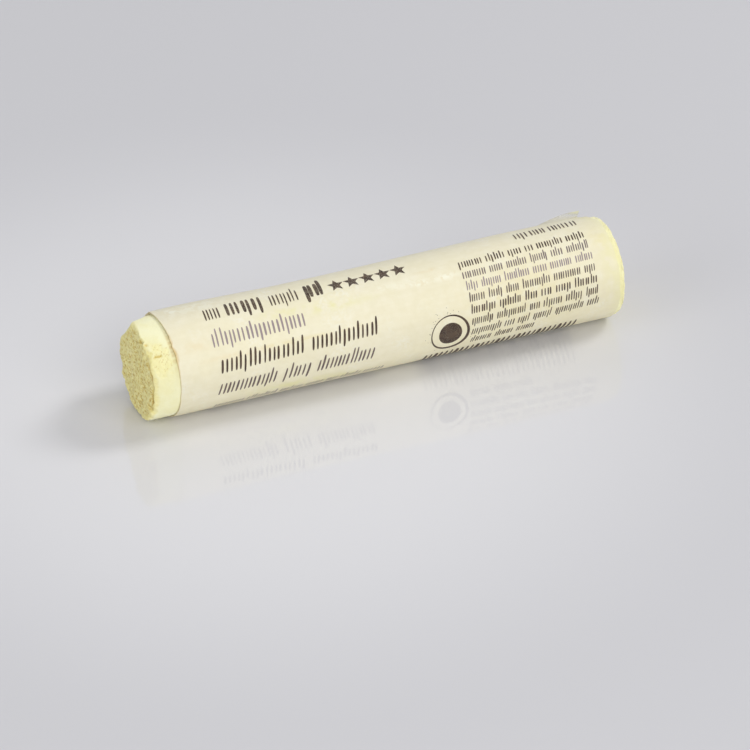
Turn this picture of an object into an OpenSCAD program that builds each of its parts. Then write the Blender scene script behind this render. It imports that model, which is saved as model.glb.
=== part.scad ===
// Soft pastel stick in a rolled paper sleeve, lying on its side.
// +X runs along the stick, from the worn bare end to the far end, and +Z is up.
// The origin is the middle of the underside. Angles round the stick start at
// the front (-Y) and rise over the top: 0 front, 90 top, 180 back, 270 underside.

/* [Stick] */
// Diameter of the pressed pigment stick
stick_d = 13; // [10:0.5:16]
// Bare length that stands out of the sleeve at the worn end
bare_l = 3; // [2:0.1:8]
// Bare length that stands out of the sleeve at the far end
stub_l = 1.3; // [0.5:0.1:4]

// How far its upper back side swells and dips along its length
uneven = 0.15; // [0:0.05:0.3]

/* [Worn end] */
// Radius of the rubbed rim round the worn end's face
worn_rim = 0.3; // [0.2:0.05:1]
// Height of the pits and swells on the broken face
face_rough = 0.2; // [0:0.05:0.4]
// Depth of the flat that is knocked off the upper back corner
corner_cut = 1.25; // [0:0.05:2]
// Length over which that flat runs out along the stick
corner_run = 4.5; // [3:0.5:10]
// Direction in which that flat faces, in degrees round the stick
corner_angle = 137; // [90:1:180]
// Depth of the flakes that are lost from the front rim
flake_depth = 0.7; // [0:0.1:1]

/* [Far end] */
// Radius of the crumbled rim at the far end
far_rim = 0.6; // [0.3:0.1:1.5]
// Height of the pits and swells on the far face
far_rough = 0.35; // [0:0.05:0.5]

/* [Sleeve] */
// Length of the sleeve
sleeve_l = 61; // [40:1:85]
// Thickness of the paper
paper_t = 0.12; // [0.08:0.01:0.3]
// Slack between the stick and the paper
slack = 0.05; // [0.02:0.01:0.2]
// Layer of paste between the two turns of paper
paste_t = 0.01; // [0:0.01:0.05]
// Where the pasted-under edge of the sheet starts, in degrees round the stick
under_edge_angle = 70; // [50:2:100]
// How far the sheet laps over its own start, in degrees
overlap_angle = 60; // [40:4:90]
// How far the sheet creeps along the stick in one turn
drift = 0.3; // [0:0.1:1]
// How far the sheet's worn-end edge is out of square
edge_slant = 0.5; // [0:0.1:1]
// How far the sheet's far-end edge is out of square
far_edge_slant = 0.15; // [0:0.05:1]
// Height of the loose waves in the paper, no more than the slack
paper_wave = 0.04; // [0:0.01:0.05]
// Share of the stick's knocked corner that the sheet sinks into
corner_sink = 0.6; // [0:0.1:0.9]

/* [Loose corner] */
// How far the unstuck corner of the sheet's free edge curls up, in degrees
corner_curl = 80; // [0:5:110]
// Length along the stick over which that corner is unstuck
loose_l = 7; // [4:0.5:20]
// Angle round the stick over which that corner is unstuck, in degrees
loose_angle = 12; // [6:1:30]
// How much of that corner's tip is worn away along the stick
tip_wear = 1.7; // [0:0.1:2]

/* [Underside] */
// Half the angle of the narrow flat that the stick lies on, in degrees
rest_angle = 11; // [6:1:14]

/* [Hidden] */

chalk_yellow = [0.96, 0.94, 0.74];
paper_cream = [0.97, 0.95, 0.86];

// The stick
stick_r = stick_d / 2;
stick_l = bare_l + sleeve_l + stub_l;
left_end = -stick_l / 2;
right_end = stick_l / 2;
ring_points = 72;
ring_step = 360 / ring_points;
face_rings = 9;
rim_steps = 3;
side_rings = 12;
// The middle of the uneven side, the length of its wave and where it starts, in mm
uneven_angle = 110;
uneven_wave = 56;
uneven_shift = 7;
uneven_start = 14;
// How far the far face falls away towards its rim
crown_drop = 0.35;

// The sleeve
sleeve_in_r = stick_r + slack;
sleeve_out_r = sleeve_in_r + paper_t;
sleeve_left = left_end + bare_l;
sleeve_right = right_end - stub_l;
lap_rise = paper_t + paste_t;
// Angle over which the sheet climbs onto its own edge
lap_ramp = 12;
length_steps = 20;
curl_steps = 4;
// Share of the loose length over which the curl builds up
curl_build = 0.6;
// Angle over which the loose corner's tip is worn, and how much less at its edge
wear_angle = 24;
tip_lean = 0.4;

// Roll angles are counted from the sheet's pasted-under edge: the sheet lies
// close up to the hinge of its loose corner, and its free edge is at roll_end
roll_end = 360 + overlap_angle;
hinge = roll_end - loose_angle;
hinge_steps = ceil(hinge / 4);
loose_w = sleeve_out_r * loose_angle * PI / 180;

// The height of the stick's axis over the surface that it lies on
axis_z = sleeve_out_r * cos(rest_angle);
stick_floor = paper_t + slack;

// Flakes off the front rim: [angle, half width in degrees, share of flake_depth]
flakes = [[16, 12, 0.45], [-8, 9, 0.7], [-24, 8, 0.55], [46, 5, 0.55], [70, 14, -0.3]];

// ---------- shared rules ----------

// 0 below lo, 1 above hi, and a straight line between them
function ramp(value, lo, hi) = max(0, min(1, (value - lo) / (hi - lo)));

// The difference between two directions, from -180 to 180
function turn_between(a, b) = (a - b + 540) % 360 - 180;

// A soft bump, 1 at the middle and about 0 at twice the half width
function bump(offset, half_width) = exp(-pow(offset / half_width, 2));

// Low swells of a broken face, about -1 to 1, from its Y and Z in mm
function swell(y, z) = 0.5 * sin(75 * y + 38 * z + 20) + 0.5 * sin(-64 * y + 118 * z);

// Coarse grain of a broken face, about -1 to 1: crests that cross at three slants
function grain(y, z) = (sin(241 * y + 60 * z) + sin(-170 * y + 193 * z + 80)
    + sin(66 * y - 287 * z + 35)) / 3;

// The two together, at the height that is asked for
function broken(y, z, height) = height * (0.6 * swell(y, z) + 0.4 * grain(y, z));

// How far the stick stands out of true at station x and angle a: it is straight
// along its underside, with one dip and one swell along its upper back side
function off_true(x, a) = -uneven * (0.5 + 0.5 * cos(a - uneven_angle))
    * cos(360 * (x + uneven_shift) / uneven_wave)
    * ramp(x, left_end + bare_l, left_end + uneven_start);

// A point at station x, radius r and angle a, with its underside pressed flat
function round_point(x, r, a, floor_z) =
    [x, -r * cos(a), max(axis_z + r * sin(a), floor_z)];

// ---------- the stick ----------

// One ring is [distance in from its end, radius, share of the end's roughness].
// The rings of an end's face grow outwards, and then turn over its rim.
function end_rings(rim_r) = concat(
    [for (k = [1:face_rings]) [0, (stick_r - rim_r) * k / face_rings, 1]],
    [for (k = [1:rim_steps])
        let (q = 90 * k / rim_steps)
        [rim_r * (1 - cos(q)), stick_r - rim_r * (1 - sin(q)), cos(q)]]);

// The side has plain rings between the two ends, closer together near the worn end
side_stations = [for (k = [1:side_rings])
    (stick_l - far_rim) * pow(k / (side_rings + 1), 1.3)];

worn_rings = end_rings(worn_rim);
far_rings = end_rings(far_rim);
worn_count = len(worn_rings);
far_count = len(far_rings);
ring_count = worn_count + side_rings + far_count;

// What the flat across the knocked corner leaves of a radius, at depth x from the
// end and angle a. It reaches about 70 degrees to either side of where it faces.
function corner_limit(x, a) =
    let (facing = cos(turn_between(a, corner_angle)))
    facing < 0.3 ? stick_r + 1 : (stick_r - corner_cut * (1 - x / corner_run)) / facing;

// How deep the flakes reach at angle a, as a length
function flake(a) = flake_depth
    * min(1, [for (f = flakes) f[2] * bump(turn_between(a, f[0]), f[1])] * [for (f = flakes) 1]);

// The worn end: a broken face with swells and grain, its flakes and its knocked corner
function worn_point(k, j) =
    let (
        ring = worn_rings[k],
        a = j * ring_step,
        r = ring[1] * min(1, corner_limit(ring[0], a) / stick_r),
        y = -r * cos(a),
        z = r * sin(a),
        rough = ring[2] * broken(y, z, face_rough),
        near_rim = pow(ring[1] / stick_r, 8),
        lost = flake(a) * near_rim
    )
    round_point(left_end + ring[0] + rough + lost, r - 0.3 * lost * ring[2], a, stick_floor);

// The side runs straight, and the knocked corner fades out along it
function side_point(k, j) =
    let (
        a = j * ring_step,
        x = left_end + side_stations[k],
        r = min(stick_r + off_true(x, a), corner_limit(side_stations[k], a))
    )
    round_point(x, r, a, stick_floor);

// The far end: a rougher face with a crumbled rim, its rings in falling order
function far_point(k, j) =
    let (
        ring = far_rings[far_count - 1 - k],
        a = j * ring_step,
        y = -ring[1] * cos(a),
        z = ring[1] * sin(a),
        rough = ring[2] * broken(z, -y, far_rough),
        crown = ring[2] * crown_drop * pow(ring[1] / stick_r, 2)
    )
    round_point(right_end - ring[0] + min(0, rough) - crown, ring[1], a, stick_floor);

stick_rings = concat(
    [for (k = [0:worn_count - 1]) for (j = [0:ring_points - 1]) worn_point(k, j)],
    [for (k = [0:side_rings - 1]) for (j = [0:ring_points - 1]) side_point(k, j)],
    [for (k = [0:far_count - 1]) for (j = [0:ring_points - 1]) far_point(k, j)]);

module pastel_stick() {
    last_ring = (ring_count - 1) * ring_points;
    worn_middle = ring_count * ring_points;
    far_middle = worn_middle + 1;
    points = concat(stick_rings, [[left_end, 0, axis_z], [right_end, 0, axis_z]]);
    // Each square between two rings is cut into two triangles
    skin = [for (k = [0:ring_count - 2]) for (j = [0:ring_points - 1])
        let (
            here = k * ring_points + j,
            above = k * ring_points + (j + 1) % ring_points
        )
        each [[here, above, above + ring_points], [here, above + ring_points, here + ring_points]]];
    caps = [for (j = [0:ring_points - 1])
        let (next = (j + 1) % ring_points)
        each [[worn_middle, next, j], [far_middle, last_ring + j, last_ring + next]]];
    color(chalk_yellow)
        polyhedron(points, concat(skin, caps));
}

// ---------- the sleeve ----------

// The radius that the inner side of the sheet has at roll angle w: it climbs
// over its own pasted-under edge just before a full turn
function roll_r(w) = sleeve_in_r + lap_rise * ramp(w, 360 - lap_ramp, 360);

// The loose waves of the paper at station x and angle a
function wave(x, a) = paper_wave
    * (0.6 * sin(10 * x + 40 + 25 * sin(a)) + 0.4 * sin(2 * a + 6.5 * x));

// How far the sheet sinks into the knocked corner at station x and angle a
function dip(x, a) = corner_sink * max(0, stick_r - corner_limit(x - left_end, a));

// How far the loose corner has curled by the place u along the sheet (0 to 1)
function curl(u) = corner_curl * ramp(u * sleeve_l, sleeve_l - loose_l, sleeve_l - (1 - curl_build) * loose_l);

// Places along the sheet, closer together towards its two ends
function place(i) = 0.5 - 0.5 * cos(180 * i / length_steps);

// Roll angles across the sheet, closer together in its loose strip
function roll_angle(j) = j <= hinge_steps ? hinge * j / hinge_steps
    : hinge + loose_angle * (j - hinge_steps) / curl_steps;

// A point of the sheet: side is 0 on its inner face and 1 on its outer face.
// Past the hinge the strip bends away from the stick along an arc.
function sheet_point(i, j, side) =
    let (
        u = place(i),
        w = roll_angle(j),
        flat_a = under_edge_angle + w,
        slant = (u < 0.5 ? edge_slant : far_edge_slant) * abs(1 - 2 * u) * cos(flat_a),
        free = ramp(w, hinge, roll_end),
        wear = tip_wear * ramp(w, hinge - wear_angle, hinge) * (1 - tip_lean * free)
            * ramp(u * sleeve_l, sleeve_l - loose_l, sleeve_l),
        x = sleeve_left + u * sleeve_l + slant - wear + drift * (w / 360 - 0.5),
        bend = curl(u) * free,
        out = loose_w * free * sin(bend / 2) + side * paper_t * cos(bend),
        back = loose_w * free * (1 - cos(bend / 2)) + side * paper_t * sin(bend),
        near_r = roll_r(w) + wave(x, flat_a) + off_true(x, flat_a) - dip(x, flat_a),
        a = flat_a - back / near_r * 180 / PI
    )
    round_point(x, near_r + out, a, (1 - side) * paper_t);

module paper_sleeve() {
    roll_points = hinge_steps + curl_steps;
    columns = roll_points + 1;
    sheet = (length_steps + 1) * columns;
    points = [for (side = [1, 0]) for (i = [0:length_steps]) for (j = [0:roll_points])
        sheet_point(i, j, side)];
    faces = [for (i = [0:length_steps - 1]) for (j = [0:roll_points - 1])
        let (a = i * columns + j, b = a + 1, c = b + columns, d = a + columns)
        each [[a, b, c], [a, c, d], [sheet + a, sheet + c, sheet + b], [sheet + a, sheet + d, sheet + c]]];
    // The cut edges: round the roll at each end, then along its two straight edges
    ends = [for (j = [0:roll_points - 1])
        let (a = j, b = j + 1, far = length_steps * columns)
        each [[a, sheet + a, sheet + b], [a, sheet + b, b],
            [far + a, far + b, sheet + far + b], [far + a, sheet + far + b, sheet + far + a]]];
    edges = [for (i = [0:length_steps - 1])
        let (a = i * columns, d = a + columns, e = a + roll_points, f = e + columns)
        each [[a, d, sheet + d], [a, sheet + d, sheet + a],
            [e, sheet + e, sheet + f], [e, sheet + f, f]]];
    color(paper_cream)
        polyhedron(points, concat(faces, ends, edges));
}

pastel_stick();
paper_sleeve();
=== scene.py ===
# %% [markdown]
# # A soft pastel stick in its paper sleeve
#
# A soft pastel is pigment and chalk, pressed with a trace of gum into a round stick.
# It breaks and rubs off at a touch, so the maker rolls it in a printed paper sleeve.
# This one is part used: its near end is a broken face with a knocked corner, its far
# end is a crumbled stub, and the sleeve's pasted edge has come loose at one corner.
#
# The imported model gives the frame: two solids, the stick and the sleeve, lying on
# their side. Here both are made again as finer surfaces from the same rules, because
# pores, chips and paper creases are far too small for the solids.

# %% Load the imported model
import math

import bpy
import numpy as np
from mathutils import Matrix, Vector


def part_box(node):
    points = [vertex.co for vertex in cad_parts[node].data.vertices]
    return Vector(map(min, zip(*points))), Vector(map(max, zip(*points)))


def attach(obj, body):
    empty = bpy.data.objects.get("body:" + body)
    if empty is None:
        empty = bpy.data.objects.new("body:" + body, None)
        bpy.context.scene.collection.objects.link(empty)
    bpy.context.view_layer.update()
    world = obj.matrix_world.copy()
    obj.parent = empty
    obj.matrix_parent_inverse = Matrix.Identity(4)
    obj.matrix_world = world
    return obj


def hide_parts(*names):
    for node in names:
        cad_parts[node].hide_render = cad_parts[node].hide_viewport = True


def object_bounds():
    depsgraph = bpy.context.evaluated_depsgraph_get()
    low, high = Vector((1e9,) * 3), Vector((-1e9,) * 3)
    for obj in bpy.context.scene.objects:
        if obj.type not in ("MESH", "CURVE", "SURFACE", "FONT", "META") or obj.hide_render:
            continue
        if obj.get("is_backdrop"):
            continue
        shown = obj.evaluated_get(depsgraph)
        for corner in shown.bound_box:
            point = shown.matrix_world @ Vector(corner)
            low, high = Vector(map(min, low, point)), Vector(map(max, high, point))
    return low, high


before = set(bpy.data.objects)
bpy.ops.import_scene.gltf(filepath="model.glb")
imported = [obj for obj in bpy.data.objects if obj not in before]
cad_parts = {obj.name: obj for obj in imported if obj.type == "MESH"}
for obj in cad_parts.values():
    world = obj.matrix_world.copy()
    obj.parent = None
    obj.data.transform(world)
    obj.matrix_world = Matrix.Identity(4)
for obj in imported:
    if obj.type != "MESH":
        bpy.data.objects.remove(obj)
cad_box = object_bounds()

# %% [markdown]
# ## Sizes
# All shape work is done in millimetres and turned to metres when a mesh is made.
# +X runs along the stick from the worn end, and angles round it start at the front:
# 0 is the front, 90 the top, 180 the back and 270 the underside. The sizes are those
# of the solids, so the fine surfaces lie where the solids are.

# %% Sizes of the stick and the sleeve
MM = 0.001

stick_d = 13.0
bare_l = 3.0
stub_l = 1.3
sleeve_l = 61.0
paper_t = 0.12
slack = 0.05
paste_t = 0.01
# Half the angle of the narrow flat that the stick lies on
rest_angle = 11.0

stick_r = stick_d / 2
stick_l = bare_l + sleeve_l + stub_l
left_end = -stick_l / 2
right_end = stick_l / 2
sleeve_left = left_end + bare_l
sleeve_right = right_end - stub_l
sleeve_in_r = stick_r + slack
sleeve_out_r = sleeve_in_r + paper_t
axis_z = sleeve_out_r * math.cos(math.radians(rest_angle))
stick_floor = paper_t + slack

for node in ("pastel_stick", "paper_sleeve"):
    low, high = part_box(node)
    print(node, "from", [round(v / MM, 2) for v in low], "to", [round(v / MM, 2) for v in high])


# %% [markdown]
# ## Rules that the shapes share
# A real surface is a plain form with many small departures. Each departure here is a
# formula of position, worked out for whole arrays at once, so that a rule can be
# shared by the stick, the paper that lies on it and the ink that lies on the paper.

# %% Degrees, ramps, bumps and points
def sin_d(angle):
    """Sine of an angle in degrees."""
    return np.sin(np.radians(angle))


def cos_d(angle):
    """Cosine of an angle in degrees."""
    return np.cos(np.radians(angle))


def ramp(value, low, high):
    """0 below low, 1 above high, and a straight line between them."""
    return np.clip((value - low) / (high - low), 0, 1)


def soft_ramp(value, low, high):
    """As ramp, with both corners rounded: 3t^2 - 2t^3."""
    t = ramp(value, low, high)
    return t * t * (3 - 2 * t)


def turn_between(a, b):
    """The difference between two directions, from -180 to 180 degrees."""
    return (a - b + 540) % 360 - 180


def bump(offset, half_width):
    """A soft bump, 1 at the middle and about 0 at twice the half width."""
    return np.exp(-((offset / half_width) ** 2))


def round_bump(a, at, half_width):
    """A bump round the stick, with its angle and half width in degrees."""
    return bump(turn_between(a, at), half_width)


def spot_bump(x, a, at, half):
    """A bump at a place: at and half are each mm along X and degrees round the stick."""
    return bump(x - at[0], half[0]) * round_bump(a, at[1], half[1])


def points_of(x, y, z):
    """Three coordinates, each an array or one number, as an array of points."""
    return np.stack(np.broadcast_arrays(x, y, z), -1)


# %% [markdown]
# ## Noise
# Crumbled chalk has no pattern, but it isn't random from point to point either: its
# lumps have a size. Gradient noise gives lumps of a chosen size. A cell pattern gives
# the slits that pressing leaves in the mass: each cell holds one slit at most, so
# they never bunch up into lines. Both use a seeded table, so each run is the same.

# %% Lumps and slits
def lumps(points, size, seed):
    """Gradient noise, about -1 to 1: every corner of a grid of boxes holds a random
    slope, and the eight slopes round a point blend with weights 6t^5 - 15t^4 + 10t^3."""
    rng = np.random.default_rng(seed)
    order = rng.permutation(256)
    slopes = rng.normal(size=(256, 3))
    slopes /= np.linalg.norm(slopes, axis=1, keepdims=True)
    place = np.asarray(points) / size
    cell = np.floor(place).astype(int)
    inside = place - cell
    blend = inside**3 * (inside * (6 * inside - 15) + 10)
    total = np.zeros(place.shape[:-1])
    for corner in np.ndindex(2, 2, 2):
        step = np.array(corner)
        key = (cell + step) & 255
        row = order[(order[key[..., 0]] + key[..., 1]) & 255]
        pick = order[(row + key[..., 2]) & 255]
        rise = ((inside - step) * slopes[pick]).sum(-1)
        total += rise * np.where(step, blend, 1 - blend).prod(-1)
    return 1.6 * total


def rough(points, size, seed, layers=3):
    """Lumps of one size, with layers of finer lumps at half the size and height."""
    return sum(
        0.5**k * lumps(points, np.asarray(size) * 0.5**k, seed + k) for k in range(layers)
    )


def slits(along, across, cell, half_l, half_w, chance, seed):
    """Scattered long pits, 0 outside and 1 at the middle of each. Every cell of the
    plane holds one, at a random place, length and slant: 1 - (l/L)^2 - (w/W)^2."""
    rng = np.random.default_rng(seed)
    table = rng.random((64, 64, 6))
    home_l = np.floor(along / cell[0]).astype(int)
    home_w = np.floor(across / cell[1]).astype(int)
    deepest = np.zeros(np.shape(along))
    for step_l, step_w in np.ndindex(3, 3):
        i = home_l + step_l - 1
        j = home_w + step_w - 1
        pick = table[i & 63, j & 63]
        from_l = along - (i + pick[..., 0]) * cell[0]
        from_w = across - (j + pick[..., 1]) * cell[1]
        slant = 0.7 * (pick[..., 2] - 0.5)
        l = from_l + slant * from_w
        w = from_w - slant * from_l
        long = half_l * (0.45 + 0.9 * pick[..., 3])
        wide = half_w * (0.6 + 0.8 * pick[..., 4])
        pit = np.clip(1 - (l / long) ** 2 - (w / wide) ** 2, 0, 1)
        deepest = np.maximum(deepest, np.where(pick[..., 5] < chance, pit, 0))
    return deepest


# %% [markdown]
# ## From a grid of points to a mesh
# Every surface here is a grid: rows and columns of points, with a square face between
# four neighbours. One helper numbers the squares, and one puts points, faces and
# values into Blender with foreach_set, which takes whole arrays and is fast.

# %% Grid faces and the mesh maker
def grid_quads(rows, columns, wrap=False):
    """Squares of a rows by columns grid of points. With wrap the last column joins the
    first. They face outwards when columns run up the front and rows along +X."""
    across = columns if wrap else columns - 1
    i, j = np.meshgrid(np.arange(rows - 1), np.arange(across), indexing="ij")
    after = (j + 1) % columns
    corners = [i * columns + j, (i + 1) * columns + j]
    corners += [(i + 1) * columns + after, i * columns + after]
    return np.stack(corners, -1).reshape(-1, 4)


def make_piece(name, points, quads, tris=None, values=None, sharp_from=None):
    """A smooth-shaded object at the origin, from points in mm, its square and
    three-sided faces, and named values per point."""
    tris = np.empty((0, 3), int) if tris is None else tris
    loops = np.concatenate([quads.ravel(), tris.ravel()]).astype(np.int32)
    sides = np.concatenate([np.full(len(quads), 4), np.full(len(tris), 3)]).astype(np.int32)
    mesh = bpy.data.meshes.new(name)
    mesh.vertices.add(len(points))
    mesh.vertices.foreach_set("co", (np.asarray(points) * MM).astype(np.float32).ravel())
    mesh.loops.add(len(loops))
    mesh.loops.foreach_set("vertex_index", loops)
    mesh.polygons.add(len(sides))
    mesh.polygons.foreach_set("loop_start", (np.cumsum(sides) - sides).astype(np.int32))
    mesh.polygons.foreach_set("loop_total", sides)
    for key, value in (values or {}).items():
        layer = mesh.attributes.new(key, "FLOAT", "POINT")
        layer.data.foreach_set("value", np.asarray(value, np.float32).ravel())
    mesh.update(calc_edges=True)
    mesh.validate()
    mesh.shade_smooth()
    if sharp_from is not None:
        mesh.set_sharp_from_angle(angle=math.radians(sharp_from))
    piece = bpy.data.objects.new(name, mesh)
    bpy.context.scene.collection.objects.link(piece)
    print(name, len(points), "points,", 2 * len(quads) + len(tris), "triangles")
    return piece


def volume(points, quads, tris):
    """The volume inside a closed mesh in cubic mm: more than 0 when faces point out."""
    triangles = np.concatenate([quads[:, [0, 1, 2]], quads[:, [0, 2, 3]], tris])
    a, b, c = (points[triangles[:, k]] for k in range(3))
    return np.einsum("ij,ij->i", a, np.cross(b, c)).sum() / 6


# %% [markdown]
# ## The pressed stick
# The real stick is pushed through a die and dried, so its side is smooth and straight
# and its section round. What makes it this stick is the damage. The worn face is a
# clean break, seen as swells with slits where the mass pulled apart. A corner has been
# knocked off the upper back, and flakes have gone from the front rim.
#
# It could be a cylinder with a sculpted end, but sculpting can't be repeated from a
# script. A set of rings can: they grow from the middle of the face, turn over its rim,
# run along the side and close over the far end. Rings are dense where the stick is
# bare and sparse under the sleeve, where nobody looks.

# %% Damage of the stick, as in the solid
uneven = 0.15
uneven_angle = 110
uneven_wave = 56
uneven_shift = 7
uneven_start = 14
face_rough = 0.2
corner_cut = 1.25
corner_run = 4.5
corner_angle = 137
flake_depth = 0.7
far_rim = 0.6
far_rough = 0.35
crown_drop = 0.35
# Flakes off the front rim: angle, half width in degrees, share of flake_depth
flakes = [(16, 12, 0.45), (-8, 9, 0.7), (-24, 8, 0.55), (46, 5, 0.55), (70, 14, -0.3)]
# The worn rim is rounder than the solid's, since its small chips leave it blunt
worn_rim = 0.42


def swell(y, z):
    """Low swells of a broken face: two crossed sines of its Y and Z in mm."""
    return 0.5 * sin_d(75 * y + 38 * z + 20) + 0.5 * sin_d(-64 * y + 118 * z)


def grain(y, z):
    """Coarse grain of a broken face: three sines whose crests cross at three slants."""
    steep = sin_d(241 * y + 60 * z) + sin_d(-170 * y + 193 * z + 80)
    return (steep + sin_d(66 * y - 287 * z + 35)) / 3


def broken(y, z, height):
    """Swells and grain together, at the height that is asked for."""
    return height * (0.6 * swell(y, z) + 0.4 * grain(y, z))


def off_true(x, a):
    """How far the side stands out of true: one dip and one swell along the upper back."""
    facing = 0.5 + 0.5 * cos_d(a - uneven_angle)
    along = cos_d(360 * (x + uneven_shift) / uneven_wave)
    return -uneven * facing * along * ramp(x, left_end + bare_l, left_end + uneven_start)


def corner_limit(depth, a):
    """What the knocked flat leaves of a radius: its distance from the axis, which
    grows back with depth, divided by the cosine of the angle away from it."""
    facing = cos_d(turn_between(a, corner_angle))
    left = stick_r - corner_cut * (1 - depth / corner_run)
    return np.where(facing < 0.3, stick_r + 1, left / np.maximum(facing, 0.3))


def flake(a):
    """Depth of the lost flakes at angle a: a sum of bumps, at most flake_depth."""
    share = sum(s * round_bump(a, at, half) for at, half, s in flakes)
    return flake_depth * np.minimum(1, share)


# %% [markdown]
# ## Fine damage
# The slits of the worn face lie nearly level, the way the break ran. They are real
# pits in the mesh, up to 0.17 mm deep, and the same pattern is stored as a value that
# the material uses to paint shade into them, as the real face's pits are shaded. On
# the bare side a patch behind the front rim has flaked, with one short crack and one
# pit, and torn lips follow the rim where flakes let go; these hollows get painted shade
# too. A dark golden band runs in flecks beside the sleeve's edge.

# %% Pores, chips and cracks
slit_slant = 12
pore_depth = 0.17
fine_grain = 0.05
# Cell, half length, half width and chance of the long slits and of the short pores
long_slit = ((0.74, 0.34), 0.3, 0.085, 0.55)
short_pore = ((0.45, 0.3), 0.14, 0.085, 0.5)
# Long waves and small chips of the worn rim, and how deep the side follows them
rim_wave = 0.15
rim_chip = 0.24
rim_follow = 2.4
# The groove inside the rim, and the angle and half width of each lip that it lies behind
groove_r = 5.85
groove_half = 0.17
groove_depth = 0.4
lips = [(22, 14), (-14, 12)]
# Place and half width, each in mm along X and in degrees round the stick
flaked_at, flaked_half = (-31.1, 41), (1.6, 19)
crack_at, crack_half = (-31.55, 43.6), (0.75, 1.1)
pit_at, pit_half = (-32.2, 59.5), (0.17, 1.4)
crack_depth = 0.2
pit_depth = 0.22
hole_depth = 0.07
# The golden seam runs beside the sleeve's edge, which is out of square
seam_in = -0.07
seam_slant = 0.5
seam_angle, seam_half = 42, (0.15, 20)


def face_slits(y, z):
    """Long slits, small round pores and crumbled hollows of a broken face, 0 to 1."""
    along = y * cos_d(slit_slant) + z * sin_d(slit_slant)
    across = -y * sin_d(slit_slant) + z * cos_d(slit_slant)
    bend = 0.12 * lumps(points_of(y, z, 0), 1.3, seed=5)
    long = slits(along, across + bend, *long_slit, seed=11)
    short = slits(along + 3, across + bend, *short_pore, seed=12)
    hollows = rough(points_of(along * 0.7, across, 0), 0.42, seed=13)
    return np.maximum(np.maximum(long, 0.8 * short), 0.8 * soft_ramp(hollows, 0.25, 0.75))


def rim_lost(a):
    """How far the worn rim stands back at angle a: flakes, long waves and small chips."""
    spot = points_of(stick_r * cos_d(a), stick_r * sin_d(a), 0)
    waves = rim_wave * rough(spot, 1.7, seed=33)
    return flake(a) + waves + rim_chip * np.maximum(0, rough(spot, 0.9, seed=45, layers=2))


def side_damage(x, a):
    """Depth of the flaked patch, the crack and the pit in the bare side, in mm, how much
    painted shade each leaves in its hollows and how much of its rubbed skin is gone, both 0 to 1."""
    spot = points_of(x, stick_r * np.radians(a), 0)
    patch = spot_bump(x, a, flaked_at, flaked_half) + 0.25 * rough(spot, 0.9, seed=21)
    patch = soft_ramp(patch, 0.2, 0.6)
    chips = patch * np.maximum(0, 0.05 + 0.09 * rough(spot * [0.6, 1, 1], 0.6, seed=23))
    wander = 0.9 * lumps(spot, 0.8, seed=25)
    crack = bump(turn_between(a, crack_at[1]) + wander, crack_half[1])
    crack *= soft_ramp(crack_half[0] - np.abs(x - crack_at[0]), 0, 0.3)
    pit = spot_bump(x, a, pit_at, pit_half)
    holes = soft_ramp(rough(spot, 0.24, seed=27), 0.45, 0.7) * patch
    depth = chips + crack_depth * crack + pit_depth * pit + hole_depth * holes
    # The crack, the pit and the holes are painted darker, as shade in their hollows
    dark = np.clip(0.4 * (crack + pit + holes), 0, 1)
    return depth, dark, np.clip(0.5 * patch + crack + pit, 0, 1)


def golden_seam(x, a, spot):
    """How golden the side is beside the sleeve's edge: a bump across it, in flecks."""
    from_edge = x - sleeve_left - seam_in - seam_slant * cos_d(a)
    seam = 0.8 * bump(from_edge, seam_half[0]) * round_bump(a, seam_angle, seam_half[1])
    return seam * soft_ramp(lumps(spot, 0.5, seed=47), -0.4, 0.3)


# %% [markdown]
# ## The rings
# One function lists the rings of either end. The far end is rougher, falls away towards
# its rim and is laid down in falling order, so that the rings run on without a turn.

# %% The rings of the stick
ring_points = 420
face_ring_count = 80
rim_ring_count = 8
far_face_ring_count = 70
bare_rings = 38
covered_rings = 12
stub_rings = 14
# Fine relief of the rubbed side and of the crumbled stub, in mm
side_relief = 0.018
side_hollows = 0.03
stub_loss = 0.05
stub_relief = 0.13
# Angles of the points of a ring
ring_a = np.arange(ring_points)[None, :] * 360 / ring_points


def end_rings(rim_r, count, turns):
    """Each ring's distance in, radius and share of roughness: count flat rings from the
    middle out, then turns rings over a rim, which is a quarter circle of radius rim_r."""
    q = np.radians(90 * np.arange(1, turns + 1) / turns)
    distance = np.concatenate([np.zeros(count), rim_r * (1 - np.cos(q))])
    radius = np.concatenate(
        [(stick_r - rim_r) * np.arange(1, count + 1) / count, stick_r - rim_r * (1 - np.sin(q))]
    )
    return distance, radius, np.concatenate([np.ones(count), np.cos(q)])


def ring_points_at(x, r, a):
    """Points at station x, radius r and angle a, with the underside pressed flat."""
    z = np.maximum(axis_z + r * sin_d(a), stick_floor)
    return points_of(x, -r * cos_d(a), z)


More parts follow.
